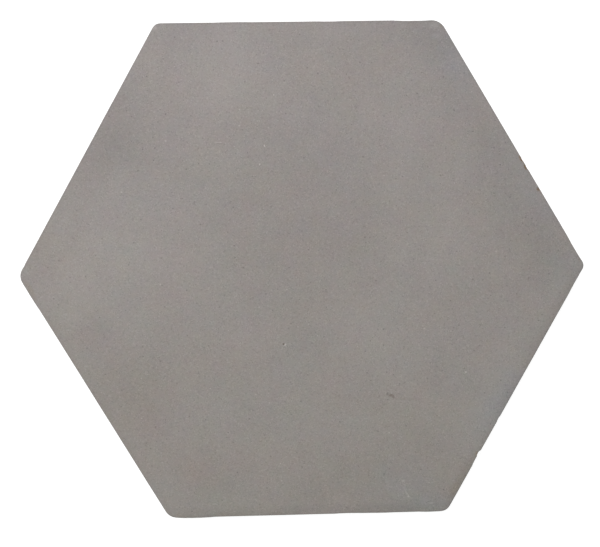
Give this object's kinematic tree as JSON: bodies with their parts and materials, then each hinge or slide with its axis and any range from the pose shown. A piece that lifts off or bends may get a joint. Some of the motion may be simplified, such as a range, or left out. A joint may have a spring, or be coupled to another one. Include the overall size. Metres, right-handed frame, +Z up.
{
  "type": "hexagon floor tile",
  "caption": "Plain grey hexagonal floor tile of pressed cement, with softened edges, worn corners and a keyed bedding side.",
  "frame": {"origin": "middle of the bedding side, where two ribs of the key cross", "axes": "+X to a corner, +Y square to a side, +Z up out of the face that is walked on"},
  "size_m": [0.2298, 0.2, 0.016],
  "materials": {
    "cement": "matte"
  },
  "bodies": {
    "root": {"hexagon_tile": "cement"}
  },
  "joints": []
}
